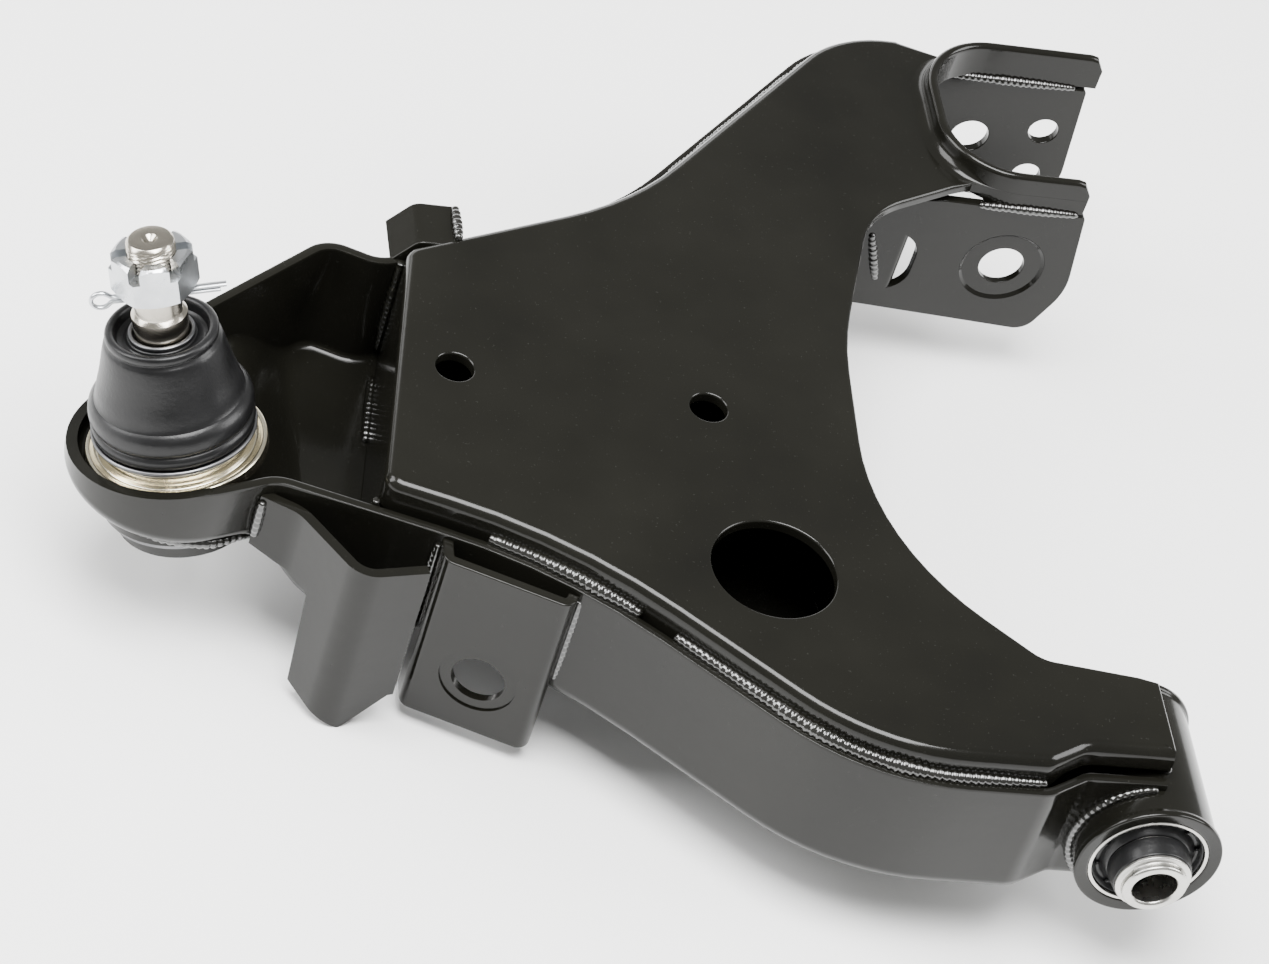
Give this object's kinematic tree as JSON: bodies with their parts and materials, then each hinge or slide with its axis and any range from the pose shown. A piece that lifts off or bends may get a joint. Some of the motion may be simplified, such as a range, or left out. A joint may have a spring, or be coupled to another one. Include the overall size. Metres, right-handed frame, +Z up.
{
  "type": "control arm",
  "caption": "Boxed sheet-metal suspension lower arm with a bonded bush, a fork for a second bush, a bump bracket and a booted ball joint with castle nut and cotter pin.",
  "frame": {"origin": "on the pivot axis of the arm, at the front face of the bush tube", "axes": "+Y along the pivot axis from the bush towards the fork, +Z up out of the top plate, +X inboard, away from the ball joint"},
  "size_m": [0.4347, 0.4166, 0.1624],
  "materials": {
    "black_paint": "smooth gloss black paint over pressed and welded steel",
    "bare_steel": "machined bare steel",
    "zinc_steel": "yellow-tinged zinc plate",
    "bright_zinc": "bright clear zinc plate",
    "spring_steel": "dark oiled spring steel",
    "rubber": "satin black rubber",
    "seat_plastic": "plain bearing plastic"
  },
  "bodies": {
    "arm": {"lower_pan": "black_paint", "top_plate": "black_paint", "fork_near_plate": "black_paint", "fork_far_plate": "black_paint", "bush_tube": "black_paint", "bush_outer_sleeve": "bare_steel", "bush_rubber": "rubber", "shock_bracket": "black_paint", "shock_gusset": "black_paint", "stop_tab": "black_paint", "ball_joint_collar": "black_paint", "ball_joint_housing": "zinc_steel", "housing_retaining_ring": "spring_steel", "ball_seat_upper": "seat_plastic", "ball_seat_lower": "seat_plastic", "preload_washer": "spring_steel", "housing_cover": "zinc_steel", "boot_lower_ring": "spring_steel"},
    "bush_core": {"bush_inner_sleeve": "bare_steel"},
    "boot": {"dust_boot": "rubber"},
    "boot_top": {"boot_upper_ring": "spring_steel"},
    "stud": {"ball_stud": "bare_steel"},
    "nut": {"castle_nut": "bright_zinc"},
    "pin": {"cotter_pin": "bright_zinc"}
  },
  "joints": [
    {"name": "bush_twist", "type": "hinge", "parent": "arm", "child": "bush_core", "pos_m": [0, 0.032, 0], "axis": [0, 1, 0], "range_deg": [-25, 25], "stiffness_Nm_per_rad": 2},
    {"name": "boot_tilt_x", "type": "hinge", "parent": "arm", "child": "boot", "pos_m": [-0.34468, 0.14993, 0.00751], "axis": [0.9641, 0.0393, 0.2626], "range_deg": [-16, 16], "deforming": ["dust_boot"]},
    {"name": "boot_tilt_y", "type": "hinge", "parent": "boot", "child": "boot_top", "pos_m": [-0.34468, 0.14993, 0.00751], "axis": [0, 0.989, -0.1478], "range_deg": [-16, 16], "deforming": ["dust_boot"]},
    {"name": "stud_spin", "type": "hinge", "parent": "boot_top", "child": "stud", "pos_m": [-0.34468, 0.14993, 0.00751], "axis": [-0.2656, 0.1425, 0.9535], "continuous": true},
    {"name": "nut_turn", "type": "hinge", "parent": "stud", "child": "nut", "pos_m": [-0.36752, 0.16219, 0.08951], "axis": [-0.2656, 0.1425, 0.9535], "continuous": true},
    {"name": "pin_pull", "type": "slide", "parent": "stud", "child": "pin", "axis": [-0.9641, -0.0393, -0.2626], "range_m": [0, 0.045]}
  ]
}
